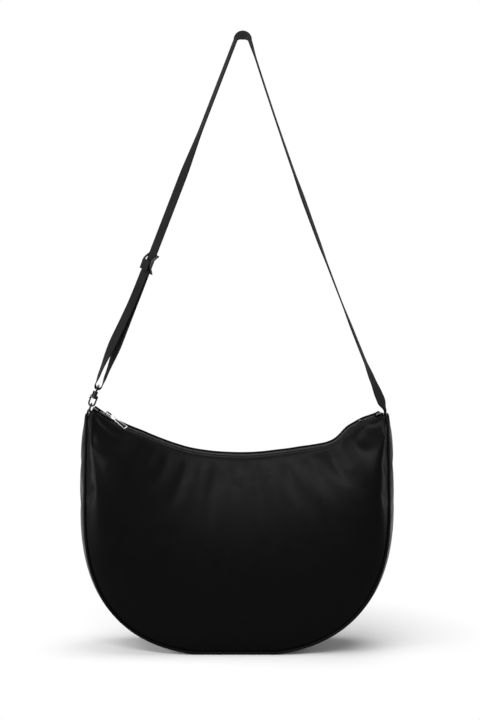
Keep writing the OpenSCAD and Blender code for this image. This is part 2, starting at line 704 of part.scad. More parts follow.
// A side rail seen along the bars: a shallow bow from the outer bars back to the centre bar
rail_steps = 12;
module rail_outline() {
    rise = outer_bar_x - centre_bar_x;
    function bow(z) = outer_bar_x - rise * cos(90 * z / outer_bar_z);
    polygon(concat(
        [for (i = [-rail_steps:rail_steps])
            let (z = outer_bar_z * i / rail_steps) [bow(z) - bar_t / 2, z]],
        [for (i = [-rail_steps:rail_steps])
            let (z = -outer_bar_z * i / rail_steps) [bow(z) + bar_t / 2, z]]));
    for (side = [-1, 1]) translate([outer_bar_x, side * outer_bar_z]) circle(r = bar_t / 2);
}

// The webbing's sewn end: one ply to the centre bar, a turn round it, and a short ply back down
stub_turn_r = bar_t / 2 + ply_gap + webbing_t / 2;
stub_l = adjuster_l / 2;
short_ply_l = adjuster_l / 2 - bar_t;
module strap_stub() {
    color(webbing_colour) in_adjuster() rotate([90, 0, 0])
        linear_extrude(webbing_w, center = true) {
            translate([stub_x - webbing_t / 2, -stub_l]) square([webbing_t, stub_l]);
            translate([centre_bar_x - stub_turn_r - webbing_t / 2, -short_ply_l])
                square([webbing_t, short_ply_l]);
            translate([centre_bar_x, 0]) difference() {
                circle(r = stub_turn_r + webbing_t / 2);
                circle(r = stub_turn_r - webbing_t / 2);
                translate([-2 * stub_turn_r, -2 * stub_turn_r]) square([4 * stub_turn_r, 2 * stub_turn_r]);
            }
        }
}

// Bar tack through the sewn end: thread that fills the space between the two plies
tack_t = 1.6;
tack_w = webbing_w * 0.7;
module stub_bar_tack() {
    color(inside_colour) in_adjuster()
        translate([centre_bar_x - stub_turn_r + webbing_t / 2, -tack_w / 2, -short_ply_l])
            cube([2 * stub_turn_r - webbing_t, tack_w, tack_t]);
}

// Tabs over the two ends of the zip, between the mouth's corner and the ring tab or strap tail
end_tab_t = 1.6;
end_tab_reach = 2;
end_tab_l = 6.1;
end_tab_half_w = mouth_half - shell_t - 2 * soft_gap;
module zip_end_tab(side) {
    outer = corner_head - corner_dir * end_tab_reach;
    inner = corner_head + end_tab_l * [cos(mouth_angle), -sin(mouth_angle)];
    low_corner = corner_head - [0, end_tab_t + soft_gap * 2];
    outline = [outer, corner_head, inner, inner - [0, end_tab_t], low_corner, outer - [0, end_tab_t]];
    turned = [for (i = [len(outline) - 1:-1:0]) [-outline[i][0], outline[i][1]]];
    color(cloth_colour) translate([0, end_tab_half_w, 0]) rotate([90, 0, 0])
        linear_extrude(2 * end_tab_half_w) polygon(side < 0 ? outline : turned);
}
module left_zip_end_tab() { zip_end_tab(-1); }
module right_zip_end_tab() { zip_end_tab(1); }

// Bar tacks that hold the ring tab and the strap tail in their corners
corner_tack_h = 2;
corner_tack_low = tab_foot[1] - tail_depth / 2;
module corner_bar_tacks() {
    color(inside_colour) {
        translate([bar_at[0] - tab_inner_r, -tab_half_w, corner_tack_low])
            cube([2 * tab_inner_r, 2 * tab_half_w, corner_tack_h]);
        for (side = [-1, 1])
            translate([right_foot[0] + (side < 0 ? -webbing_t - tab_t : webbing_t),
                       -knuckle_r, corner_tack_low])
                cube([tab_t, 2 * knuckle_r, corner_tack_h]);
    }
}

// Lining: one sheet from the front of the mouth down, under and up to the back of the mouth
lining_gap = 0.5;
lining_rows = 10;
lining_low_share = 0.04;
lining_base_gap = 1;
lining_base_share = 0.9;
function lining_row(s, inset) = concat(
    [for (j = [0:lining_rows]) let (v = 1 - (1 - lining_low_share) * j / lining_rows)
        panel_point(s, v, -1, inset, inset)],
    [for (j = [1:gusset_rows - 1]) let (w = lining_base_share * (2 * j / gusset_rows - 1))
        gusset_point(s, w, inset + lining_base_gap)],
    [for (j = [0:lining_rows]) let (v = lining_low_share + (1 - lining_low_share) * j / lining_rows)
        panel_point(s, v, 1, inset, inset)]);
lining_end = 0.03;
lining_steps = 40;
function lining_grid(inset) =
    [for (i = [0:lining_steps]) lining_row(lining_end + (1 - 2 * lining_end) * i / lining_steps, inset)];
module lining() {
    outer_inset = shell_t + lining_gap;
    color(inside_colour) sheet(lining_grid(outer_inset + lining_t), lining_grid(outer_inset));
}

// Inner slip pocket: one ply sewn to the back of the lining
pocket_low_share = 0.25;
pocket_spread_share = 0.42;
pocket_gap = 0.5;
pocket_columns = 12;
pocket_rows = 6;
function pocket_grid(inset) =
    [for (i = [0:pocket_columns])
        let (s = 1 / 2 + pocket_spread_share * pocket_w / bag_w * (i / pocket_columns - 1 / 2))
        [for (j = [0:pocket_rows])
            let (v = pocket_low_share + pocket_h / (corner_h - mouth_dip) * j / pocket_rows)
            panel_point(s, v, 1, inset, inset)]];
module inner_pocket() {
    start = shell_t + lining_gap + lining_t + pocket_gap;
    color(inside_colour) sheet(pocket_grid(start + lining_t), pocket_grid(start));
}

front_panel();
back_panel();
gusset();
front_piping();
back_piping();
front_zip_tape();
back_zip_tape();
front_zip_coil();
back_zip_coil();
zip_stops();
left_zip_end_tab();
right_zip_end_tab();
ring_tab();
strap_tail();
corner_bar_tacks();
lining();
inner_pocket();
zip_slider();
zip_puller();
d_ring();
hook_body();
hook_gate();
gate_pin();
gate_spring();
swivel_eye();
strap_webbing();
loop_strand();
adjuster_frame();
strap_stub();
stub_bar_tack();
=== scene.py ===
from math import asin, atan2, cos, pi, radians, sin, sqrt, tan

import bpy
import numpy as np
from mathutils import Matrix, Vector


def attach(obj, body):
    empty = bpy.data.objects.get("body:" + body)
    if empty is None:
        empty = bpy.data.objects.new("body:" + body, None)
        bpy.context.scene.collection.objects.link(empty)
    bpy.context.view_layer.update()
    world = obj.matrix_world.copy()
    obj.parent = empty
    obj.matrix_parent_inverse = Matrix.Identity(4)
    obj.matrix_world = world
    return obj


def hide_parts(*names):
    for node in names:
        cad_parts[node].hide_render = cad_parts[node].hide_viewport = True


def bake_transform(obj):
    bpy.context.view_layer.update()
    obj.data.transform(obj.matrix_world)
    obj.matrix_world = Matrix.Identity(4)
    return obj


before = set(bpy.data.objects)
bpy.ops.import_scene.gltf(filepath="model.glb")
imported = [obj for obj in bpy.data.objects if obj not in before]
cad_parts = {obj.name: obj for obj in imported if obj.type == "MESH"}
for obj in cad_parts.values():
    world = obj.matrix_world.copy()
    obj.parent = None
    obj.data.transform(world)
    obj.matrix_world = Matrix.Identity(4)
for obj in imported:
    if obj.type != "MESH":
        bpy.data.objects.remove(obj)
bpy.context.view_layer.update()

scene = bpy.context.scene
MM = 0.001

# Sizes in millimetres, the same ones that the solids are built from.
BAG_W, HUB_H, CORNER_H, SEAM_END_H = 393, 185, 304, 295
MOUTH_W, MOUTH_DIP, BASE_DEPTH, MOUTH_DEPTH = 358, 60, 100, 24
PANEL_CROWN, GUSSET_BULGE, BASE_FLAT = 22, 7, 0.002
LEFT_SQUARENESS, RIGHT_SQUARENESS = 2.6, 2.5
PIPING_R, SOFT_GAP, ZIP_LEAN = 2, 0.3, radians(10)
WEBBING_W, WEBBING_T, STRAP_H, APEX_SHIFT, APEX_R, LOOP_R = 20, 1.3, 767, 7, 9.5, 4.2
SAG, TWIST, GATHERED_W, ADJUSTER_PLACE, ADJUSTER_L = radians(2.6), 29, 6.8, 167, 25
RING_WIRE_R, RING_ARC_R, RING_LEAN, RING_SIDE = 1.1, 8.8, radians(20), 1.2
TAB_BACK, BAR_RISE, HOOK_RISE, EYE_RISE, LOOP_RISE = 3.5, 2, 1.05, 21.6, 1.75

# How the shell falls off to its edges: shares of a length, and the powers of its curves.
UPPER_SHARE, DEPTH_POWER, CROWN_PLACE, CROWN_POWER = 4.8, 2.2, 0.85, 6
BULGE_POWER, BULGE_FADE, BULGE_END = 2.6, 0.06, 0.25

# Sizes of what is in the scene alone, in millimetres: how far the cloth's edge stays from the seam,
# the cloth's thickness, how high it stays off the floor, and how far the lining and its pocket lie
# inside the shell.
CLOTH_EDGE, CLOTH_T, LINING_T, BASE_CLEAR = 0.7, 1.2, 0.5, 0.3
LINING_IN, GUSSET_LINING_IN, POCKET_IN, LINING_EDGE = 4.2, 4.0, 5.4, 3.0
POCKET_W, POCKET_H = 170, 110

# Points closer than this, in metres, become one: in a lofted piece, and in a copied solid.
LOFT_MERGE, SOLID_MERGE = 0.000001, 0.000002

# The seam's outline in polar form round the hub, and the depth of the body at a height.
seam_half_w = BAG_W / 2 - GUSSET_BULGE
low_reach, upper_reach = HUB_H * (1 + BASE_FLAT), seam_half_w * UPPER_SHARE
seam_low = PIPING_R + SOFT_GAP
seam_end_x = seam_half_w * sqrt(1 - ((SEAM_END_H - HUB_H) / upper_reach) ** 2)
end_angle = atan2(SEAM_END_H - HUB_H, seam_end_x)


def reach(phi):
    across = abs(cos(phi)) / seam_half_w
    square = LEFT_SQUARENESS if cos(phi) < 0 else RIGHT_SQUARENESS
    if sin(phi) < 0:
        return (across ** square + (abs(sin(phi)) / low_reach) ** square) ** (-1 / square)
    return (across ** 2 + (sin(phi) / upper_reach) ** 2) ** -0.5


def seam_phi(s):
    return pi - end_angle + s * (pi + 2 * end_angle)


def seam_at(s, inwards=0.0):
    phi = seam_phi(s)
    r = reach(phi) - inwards
    return r * cos(phi), max(HUB_H + r * sin(phi), seam_low + inwards)


def half_depth(z):
    share = min(1, max(0, z / SEAM_END_H))
    return MOUTH_DEPTH / 2 + (BASE_DEPTH - MOUTH_DEPTH) / 2 * (1 - share ** DEPTH_POWER)


# The mouth is an arc about a centre above the bag.
mouth_r = ((MOUTH_W / 2) ** 2 + MOUTH_DIP ** 2) / (2 * MOUTH_DIP)
mouth_centre = CORNER_H - MOUTH_DIP + mouth_r
mouth_angle = asin(MOUTH_W / 2 / mouth_r)
band_half = MOUTH_DEPTH / 2 / cos(ZIP_LEAN)
chain_r = mouth_r + MOUTH_DEPTH / 2 * tan(ZIP_LEAN)


# How far the soft edge of the mouth stands above its arc, or with a minus hangs below it: (x, rise).
SLACK = ((-179, 0), (-158, 0), (-146, 1.4), (-120, 3.7), (-95, 2.8), (-60, 0.8), (-10, 0.8), (50, -0.2),
         (80, -2.6), (102, -6.4), (114, -8.8), (124, -8.8), (131, -5.6), (137, -1.2), (140, 0), (158, 0),
         (165, -2.0), (172, -4.6), (179, -6.6))
SLACK_REACH, SLACK_STEP, SLACK_PASSES = 190, 2, 4
slack_x = np.arange(-SLACK_REACH, SLACK_REACH + 1, SLACK_STEP)
slack_rise = np.interp(slack_x, *zip(*SLACK))
for _ in range(SLACK_PASSES):
    slack_rise[1:-1] = (slack_rise[:-2] + 2 * slack_rise[1:-1] + slack_rise[2:]) / 4


def slack(x):
    return float(np.interp(x, slack_x, slack_rise))


def at_zip(psi):
    """x runs along the zip, y across it to the back, z out of the bag."""
    x = chain_r * sin(psi)
    place = Matrix.Translation((x, 0, mouth_centre - chain_r * cos(psi) + slack(x)))
    return place @ Matrix.Rotation(-psi, 4, "Y") @ Matrix.Rotation(ZIP_LEAN, 4, "X")


def panel_point(s, v, side, inset=0.0, edge=0.0, foot_in=PIPING_R + SOFT_GAP):
    foot = seam_at(s, foot_in + edge)
    r = chain_r - side * band_half * sin(ZIP_LEAN) + edge
    psi = mouth_angle * (2 * s - 1)
    head = r * sin(psi), mouth_centre - r * cos(psi) + slack(r * sin(psi))
    swell = PANEL_CROWN * sin(pi * v ** CROWN_PLACE) * (1 - abs(2 * s - 1) ** CROWN_POWER)
    deep = half_depth(foot[1]) * (1 - v) + MOUTH_DEPTH / 2 * v + swell
    return Vector((foot[0] + (head[0] - foot[0]) * v, side * (deep - inset),
                   foot[1] + (head[1] - foot[1]) * v))


def gusset_point(s, w, inset=0.0, edge=PIPING_R + SOFT_GAP):
    x, z = seam_at(s)
    phi = seam_phi(s)
    full = BULGE_END + (1 - BULGE_END) * min(1, s / BULGE_FADE, (1 - s) / BULGE_FADE)
    out = GUSSET_BULGE * sin(pi / 2 * full) * (1 - abs(w) ** BULGE_POWER) - inset
    return Vector((x + out * cos(phi), w * (half_depth(z) - edge), max(z + out * sin(phi), inset)))


# The strap's chain, from the ring at the left corner to the sewn right corner.
def place_of(p):
    return Vector((p[0], 0, p[1]))


foot = np.array((-seam_end_x, SEAM_END_H))
head = np.array((-MOUTH_W / 2, CORNER_H))
corner_dir = (head - foot) / np.linalg.norm(head - foot)
tab_foot = foot + TAB_BACK * corner_dir
bar_at = tab_foot + (0, BAR_RISE)
arc_at = bar_at + RING_SIDE * np.array((sin(RING_LEAN), cos(RING_LEAN)))
ring_top = arc_at + RING_ARC_R * np.array((sin(RING_LEAN), cos(RING_LEAN)))
knuckle_at = np.array((-tab_foot[0], arc_at[1]))
bend_at = np.array((APEX_SHIFT, STRAP_H - APEX_R))
span = bend_at - ring_top
lean = atan2(span[0], span[1]) - asin((APEX_R + LOOP_R) / np.linalg.norm(span))
up, out = np.array((sin(lean), cos(lean))), np.array((cos(lean), -sin(lean)))
hook_at = ring_top + up * HOOK_RISE
eye_at = hook_at + up * EYE_RISE
loop_at = eye_at + up * LOOP_RISE
left_run = float((bend_at - loop_at) @ up)


def in_chain(place):
    return Matrix.Translation(place_of(place)) @ Matrix.Rotation(lean, 4, "Y")


adjuster = in_chain(loop_at + LOOP_R * out + up * ADJUSTER_PLACE) @ Matrix.Rotation(radians(TWIST), 4, "Z")


# Working in Blender, as by hand.
def deselect():
    if bpy.context.object and bpy.context.object.mode != "OBJECT":
        bpy.ops.object.mode_set(mode="OBJECT")
    bpy.ops.object.select_all(action="DESELECT")


def take(piece):
    deselect()
    piece.select_set(True)
    bpy.context.view_layer.objects.active = piece
    return piece


def apply_all(piece):
    take(piece)
    for modifier in list(piece.modifiers):
        bpy.ops.object.modifier_apply(modifier=modifier.name)
    return piece


def join(name, pieces):
    deselect()
    for piece in pieces:
        piece.select_set(True)
    bpy.context.view_layer.objects.active = pieces[0]
    if len(pieces) > 1:
        bpy.ops.object.join()
    bpy.context.object.name = bpy.context.object.data.name = name
    return bpy.context.object


def lofted(name, columns, rows, point, stretch=(1.0, 1.0), closed=False, capped=False):
    """A grid laid out flat, then set on a form: point(u, v) in millimetres, with u and v from 0 to 1.
    Its UV map is in metres, stretch giving the length of each side in millimetres."""
    deselect()
    bpy.ops.mesh.primitive_grid_add(x_subdivisions=columns, y_subdivisions=rows, size=2)
    piece = bpy.context.object
    piece.name = piece.data.name = name
    mesh = piece.data
    uv = mesh.uv_layers.active.data
    for loop in mesh.loops:
        co = mesh.vertices[loop.vertex_index].co
        uv[loop.index].uv = ((co.x + 1) / 2 * stretch[0] * MM, (co.y + 1) / 2 * stretch[1] * MM)
    for vertex in mesh.vertices:
        u, v = (vertex.co.x + 1) / 2, (vertex.co.y + 1) / 2
        if closed:
            v = round(v * rows) % rows / rows
        vertex.co = point(min(1, max(0, u)), min(1, max(0, v))) * MM
    if closed:
        bpy.ops.object.mode_set(mode="EDIT")
        bpy.ops.mesh.select_all(action="SELECT")
        bpy.ops.mesh.remove_doubles(threshold=LOFT_MERGE)
        if capped:
            bpy.ops.mesh.select_all(action="DESELECT")
            bpy.ops.mesh.select_mode(type="EDGE")
            bpy.ops.mesh.select_non_manifold()
            bpy.ops.mesh.fill_holes(sides=0)
        bpy.ops.mesh.select_all(action="SELECT")
        bpy.ops.mesh.normals_make_consistent(inside=False)
        bpy.ops.object.mode_set(mode="OBJECT")
    bpy.ops.object.shade_smooth()
    return piece


def face_out(piece, outwards):
    """Turns an open sheet so that its normals point the way that outwards gives at each face."""
    mesh = piece.data
    if sum(p.normal.dot(outwards(p.center)) for p in mesh.polygons) < 0:
        take(piece)
        bpy.ops.object.mode_set(mode="EDIT")
        bpy.ops.mesh.select_all(action="SELECT")
        bpy.ops.mesh.flip_normals()
        bpy.ops.object.mode_set(mode="OBJECT")
    return piece


def tube(name, centre, radius, rings, sides, length):
    """A closed tube along centre(u), in millimetres, with a ring every step."""
    def point(u, v):
        at, ahead = centre(u), centre(min(1, u + 0.5 / rings)) - centre(max(0, u - 0.5 / rings))
        ahead.normalize()
        side = ahead.cross(Vector((0, 1, 0)))
        side = side.normalized() if side.length > 1e-6 else Vector((1, 0, 0))
        turn = 2 * pi * v
        return at + radius * (cos(turn) * side + sin(turn) * side.cross(ahead))
    return lofted(name, rings, sides, point, (length, 2 * pi * radius), True, True)


def thicken(piece, thickness, offset=-1.0, levels=1):
    """A wall of cloth with a soft edge, from a sheet."""
    wall = piece.modifiers.new("Wall", "SOLIDIFY")
    wall.thickness, wall.offset, wall.use_even_offset = thickness * MM, offset, False
    if levels:
        soft = piece.modifiers.new("Soft", "SUBSURF")
        soft.levels = soft.render_levels = levels
    return apply_all(piece)


def drape(piece, pinned, frames, pressure, cap, dent, slack, gravity=0.0, bending=0.6):
    """Lets the cloth settle between its pinned edges: out by cap and in by dent at the most."""
    take(piece)
    rest = np.array([v.co for v in piece.data.vertices])
    outward = np.array([v.normal for v in piece.data.vertices])
    pins = piece.vertex_groups.new(name="pins")
    for index, weight in enumerate(pinned):
        if weight > 0:
            pins.add([index], weight, "REPLACE")
    cloth = piece.modifiers.new("Cloth", "CLOTH")
    cloth.settings.quality = 7
    cloth.settings.mass = 0.12
    cloth.settings.tension_stiffness = cloth.settings.compression_stiffness = 18
    cloth.settings.shear_stiffness = 8
    cloth.settings.bending_stiffness = bending
    cloth.settings.vertex_group_mass = "pins"
    cloth.settings.shrink_min = -slack
    cloth.settings.use_pressure = True
    cloth.settings.uniform_pressure_force = pressure
    cloth.settings.effector_weights.gravity = gravity
    cloth.collision_settings.use_collision = False
    cloth.point_cache.frame_start, cloth.point_cache.frame_end = 1, frames
    for step in range(1, frames + 1):
        scene.frame_set(step)
    settled = piece.evaluated_get(bpy.context.evaluated_depsgraph_get()).to_mesh()
    moved = np.array([v.co for v in settled.vertices]) - rest
    far = np.linalg.norm(moved, axis=1, keepdims=True)
    limit = np.where((moved * outward).sum(axis=1, keepdims=True) < 0, dent, cap) * MM
    moved *= np.tanh(far / limit) * limit / np.maximum(far, 1e-9)
    piece.modifiers.remove(cloth)
    scene.frame_set(1)
    for vertex, place in zip(piece.data.vertices, rest + moved):
        vertex.co = place
    piece.vertex_groups.clear()
    return piece


# Finishes.
def finish(name):
    made = bpy.data.materials.new(name)
    made.use_nodes = True
    return made, made.node_tree.nodes, made.node_tree.links, made.node_tree.nodes["Principled BSDF"]


def node(nodes, kind, **values):
    made = nodes.new(kind)
    for key, value in values.items():
        made.inputs[key].default_value = value
    return made


def maths(nodes, links, operation, a, b=None):
    made = nodes.new("ShaderNodeMath")
    made.operation = operation
    for socket, value in zip(made.inputs, (a, b)):
        if value is None:
            continue
        if isinstance(value, (int, float)):
            socket.default_value = value
        else:
            links.new(value, socket)
    return made.outputs[0]


def varied(nodes, links, vector, scale, low, high, socket):
    """A value that drifts from low to high with a noise of that scale."""
    drift = node(nodes, "ShaderNodeTexNoise", Scale=scale, Detail=4.0, Roughness=0.6)
    links.new(vector, drift.inputs["Vector"])
    ramp = nodes.new("ShaderNodeMapRange")
    ramp.inputs["From Min"].default_value, ramp.inputs["From Max"].default_value = 0.3, 0.7
    ramp.inputs["To Min"].default_value, ramp.inputs["To Max"].default_value = low, high
    links.new(drift.outputs["Fac"], ramp.inputs["Value"])
    links.new(ramp.outputs["Result"], socket)


def tinted(nodes, links, vector, scale, dark, light, socket):
    """A colour that drifts from dark to light in the same way."""
    drift = node(nodes, "ShaderNodeTexNoise", Scale=scale, Detail=5.0, Roughness=0.6)
    links.new(vector, drift.inputs["Vector"])
    ramp = nodes.new("ShaderNodeValToRGB")
    ramp.color_ramp.elements[0].position, ramp.color_ramp.elements[1].position = 0.3, 0.72
    ramp.color_ramp.elements[0].color, ramp.color_ramp.elements[1].color = (*dark, 1), (*light, 1)
    links.new(drift.outputs["Fac"], ramp.inputs["Fac"])
    links.new(ramp.outputs["Color"], socket)


def bumped(nodes, links, shader, height, strength, distance):
    made = node(nodes, "ShaderNodeBump", Strength=strength, Distance=distance)
    links.new(height, made.inputs["Height"])
    links.new(made.outputs["Normal"], shader.inputs["Normal"])


def woven(name, dark, light, pitch_u, pitch_v, rough, ior, strength, depth, fuzz=1400.0, shine=0.5):
    """Cloth whose weave follows the piece's UV map: threads that pass over and under each other."""
    made, nodes, links, shader = finish(name)

    def step(operation, a, b=None):
        return maths(nodes, links, operation, a, b)

    coordinates = nodes.new("ShaderNodeTexCoord")
    split = nodes.new("ShaderNodeSeparateXYZ")
    links.new(coordinates.outputs["UV"], split.inputs[0])
    u, v = split.outputs[0], split.outputs[1]
    wave = step("SINE", step("MULTIPLY", v, pi / (pitch_v * MM)))
    turned = step("MULTIPLY", step("SIGN", wave), pi / 2)
    over = step("SINE", step("ADD", step("MULTIPLY", u, pi / (pitch_u * MM)), turned))
    thread = step("MULTIPLY", step("ABSOLUTE", over), step("ABSOLUTE", wave))
    place = coordinates.outputs["Object"]
    fibre = node(nodes, "ShaderNodeTexNoise", Scale=fuzz, Detail=3.0, Roughness=0.7)
    links.new(place, fibre.inputs["Vector"])
    height = step("ADD", thread, step("MULTIPLY", fibre.outputs["Fac"], 0.45))
    bumped(nodes, links, shader, height, strength, depth * MM)
    tinted(nodes, links, place, 26.0, dark, light, shader.inputs["Base Color"])
    varied(nodes, links, place, 60.0, rough - 0.05, rough + 0.06, shader.inputs["Roughness"])
    shader.inputs["IOR"].default_value = ior
    shader.inputs["Specular IOR Level"].default_value = shine
    return made


def metal(name, dark, light, rough):
    """Plated metal with a drift in its polish and fine rubbing marks."""
    made, nodes, links, shader = finish(name)
    place = nodes.new("ShaderNodeTexCoord").outputs["Object"]
    shader.inputs["Metallic"].default_value = 1.0
    tinted(nodes, links, place, 240.0, dark, light, shader.inputs["Base Color"])
    varied(nodes, links, place, 420.0, rough - 0.07, rough + 0.08, shader.inputs["Roughness"])
    marks = node(nodes, "ShaderNodeTexNoise", Scale=900.0, Detail=4.0, Roughness=0.7)
    links.new(place, marks.inputs["Vector"])
    bumped(nodes, links, shader, marks.outputs["Fac"], 0.12, 0.05 * MM)
    return made


def moulded(name, dark, light, rough):
    """Moulded plastic with a fine grain."""
    made, nodes, links, shader = finish(name)
    place = nodes.new("ShaderNodeTexCoord").outputs["Object"]
    tinted(nodes, links, place, 300.0, dark, light, shader.inputs["Base Color"])
    varied(nodes, links, place, 700.0, rough - 0.05, rough + 0.05, shader.inputs["Roughness"])
    grain = node(nodes, "ShaderNodeTexNoise", Scale=2200.0, Detail=2.0)
    links.new(place, grain.inputs["Vector"])
    bumped(nodes, links, shader, grain.outputs["Fac"], 0.1, 0.03 * MM)
    return made


# Cloth: dark and light colour, thread pitches in millimetres, roughness, IOR, then the relief's
# strength and depth.
coated_cloth = woven("coated_cloth", (0.0009, 0.0009, 0.001), (0.0014, 0.0013, 0.0015),
                     0.42, 0.42, 0.32, 1.34, 0.12, 0.04, shine=0.08)
piping_cloth = woven("piping_cloth", (0.0011, 0.0011, 0.0012), (0.0018, 0.0017, 0.0019),
                     0.42, 0.42, 0.42, 1.34, 0.15, 0.05, shine=0.08)
strap_weave = woven("strap_weave", (0.0035, 0.0035, 0.0038), (0.007, 0.007, 0.0074),
                    0.75, 1.1, 0.6, 1.36, 0.75, 0.28, fuzz=2600.0, shine=0.06)
tape_weave = woven("tape_weave", (0.002, 0.002, 0.0022), (0.004, 0.004, 0.0043),
                   0.5, 0.7, 0.62, 1.38, 0.5, 0.12, shine=0.06)
lining_weave = woven("lining_weave", (0.03, 0.03, 0.034), (0.045, 0.045, 0.05),
                     0.35, 0.35, 0.5, 1.4, 0.2, 0.06)
thread_twist = woven("thread_twist", (0.009, 0.009, 0.01), (0.016, 0.016, 0.017),
                     0.3, 0.3, 0.5, 1.42, 0.4, 0.08)

# Metal and plastic: dark and light colour, roughness.
dark_plating = metal("dark_plating", (0.01, 0.01, 0.011), (0.024, 0.024, 0.026), 0.36)
slider_plating = metal("slider_plating", (0.014, 0.014, 0.015), (0.035, 0.035, 0.037), 0.3)
puller_plating = metal("puller_plating", (0.3, 0.3, 0.305), (0.5, 0.5, 0.51), 0.2)
bright_wire = metal("bright_wire", (0.5, 0.5, 0.51), (0.66, 0.66, 0.67), 0.22)
coil_nylon = moulded("coil_nylon", (0.004, 0.004, 0.0043), (0.008, 0.008, 0.0085), 0.34)
buckle_black = moulded("buckle_black", (0.003, 0.003, 0.0034), (0.006, 0.006, 0.0065), 0.22)


def dress(piece, material, body, replaced=()):
    piece.data.materials.clear()
    piece.data.materials.append(material)
    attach(piece, body)
    if replaced:
        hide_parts(*replaced)
    return piece


# Shell: the front and back panels, whose tops fold over onto the zip tape.
FOLD = ((12.0, 0.9), (11.2, 1.75), (10.0, 1.9), (8.7, 1.75))
PANEL_ROWS, PANEL_COLUMNS = 44, 132


def edge_pins(columns, rows, top=1):
    """Which points of a grid are held: two lines of them along each edge, and more along the top."""
    return [1.0 if j <= 1 or j >= rows - top or i <= 1 or i >= columns - 1 else 0.0
            for j in range(rows + 1) for i in range(columns + 1)]


def panel_form(side):
    top = PANEL_ROWS - len(FOLD)

    def point(u, v):
        row = round(v * PANEL_ROWS)
        if row <= top:
            return panel_point(u, row / top, side, foot_in=CLOTH_EDGE)
        psi = mouth_angle * (2 * u - 1)
        across, rise = FOLD[row - top - 1]
        return at_zip(psi) @ Vector((0, side * across, rise))
    return point


def shell_panel(name, side, node_name):
    panel = lofted(name, PANEL_COLUMNS, PANEL_ROWS, panel_form(side), (460, 250))
    face_out(panel, lambda p: Vector((0, side, 0.2)))
    drape(panel, edge_pins(PANEL_COLUMNS, PANEL_ROWS, len(FOLD) + 1), frames=18, pressure=3.0, gravity=0.05,
          cap=6, dent=2.2, slack=0.0014, bending=5.0)
    thicken(panel, CLOTH_T)
    return dress(panel, coated_cloth, "bag", (node_name,))


shell_panel("front_cloth", -1, "front_panel")
shell_panel("back_cloth", 1, "back_panel")

# Gusset: one long strip round the sides and under the base.
GUSSET_ROWS, GUSSET_COLUMNS = 16, 150
gusset_cloth = lofted("gusset_cloth", GUSSET_COLUMNS, GUSSET_ROWS,
                      lambda u, v: gusset_point(u, 2 * v - 1, 0.0, CLOTH_EDGE), (950, 100))
face_out(gusset_cloth, lambda p: Vector((p.x, 0, p.z - 0.2)))
drape(gusset_cloth, edge_pins(GUSSET_COLUMNS, GUSSET_ROWS), frames=14, pressure=0.6, cap=1.6, dent=1.2,
      slack=0.003)
for vertex in gusset_cloth.data.vertices:
    vertex.co.z = max(vertex.co.z, BASE_CLEAR * MM)
thicken(gusset_cloth, CLOTH_T)
dress(gusset_cloth, coated_cloth, "bag", ("gusset",))


# Piping: a covered cord in each seam.
CORD_R, CORD_RINGS = 1.9, 220


def piping_path(side):
    def centre(u):
        x, z = seam_at(u)
        return Vector((x, side * half_depth(z), z))
    return centre


for name, side in (("front_piping_cord", -1), ("back_piping_cord", 1)):
    cord = tube(name, piping_path(side), CORD_R, CORD_RINGS, 12, 950)
    dress(cord, piping_cloth, "bag", (name[:-5],))

# Lining and its slip pocket, a little inside the shell.
LINING_ROWS = 14


def lining_form(u, v):
    s = 0.03 + 0.94 * u
    row = round(v * (3 * LINING_ROWS))
    if row <= LINING_ROWS:
        return panel_point(s, 1 - 0.95 * row / LINING_ROWS, -1, LINING_IN, LINING_EDGE)
    if row >= 2 * LINING_ROWS:
        return panel_point(s, 0.05 + 0.95 * (row - 2 * LINING_ROWS) / LINING_ROWS, 1, LINING_IN, LINING_EDGE)
    return gusset_point(s, 0.86 * (2 * (row - LINING_ROWS) / LINING_ROWS - 1), GUSSET_LINING_IN)


lining_cloth = lofted("lining_cloth", 90, 3 * LINING_ROWS, lining_form, (900, 620))
thicken(lining_cloth, LINING_T, 0.0, 0)
dress(lining_cloth, lining_weave, "bag", ("lining",))


def pocket_form(u, v):
    s = 0.5 + POCKET_W / BAG_W * 0.42 * (u - 0.5)
    return panel_point(s, 0.25 + POCKET_H / (CORNER_H - MOUTH_DIP) * v, 1, POCKET_IN, LINING_EDGE)


pocket_cloth = lofted("pocket_cloth", 30, 14, pocket_form, (POCKET_W, POCKET_H))
thicken(pocket_cloth, LINING_T, 0.0, 1)
dress(pocket_cloth, lining_weave, "bag", ("inner_pocket",))

# Zip: two woven tapes and two nylon coils whose loops stand side by side.
TAPE_END = mouth_angle - radians(1.6)


def tape_form(side):
    outline = [(1.5, -0.35), (9.9, -0.35), (9.9, 0.35), (6.0, 0.4), (3.2, 0.38), (1.5, 0.35)]

    def point(u, v):
        across, rise = outline[round(v * len(outline)) % len(outline)]
        return at_zip(TAPE_END * (2 * u - 1)) @ Vector((0, side * across, rise))
    return point


for name, side in (("front_tape", -1), ("back_tape", 1)):
    tape = lofted(name, 150, 6, tape_form(side), (370, 18), True, True)
    bpy.ops.object.shade_smooth_by_angle(angle=radians(35))
    dress(tape, tape_weave, "bag", (name[:-4] + "zip_tape",))

# Each coil's pitch, the place and half width of its loops across the zip and out of it, and its wire.
COIL_PITCH, COIL_WIRE_R, COIL_SIDES, COIL_STEPS = 1.7, 0.27, 5, 8
COIL_IN, COIL_HALF_W, COIL_UP, COIL_HALF_H = 1.72, 1.18, 1.22, 0.62
coil_turns = int(2 * TAPE_END * chain_r / COIL_PITCH)


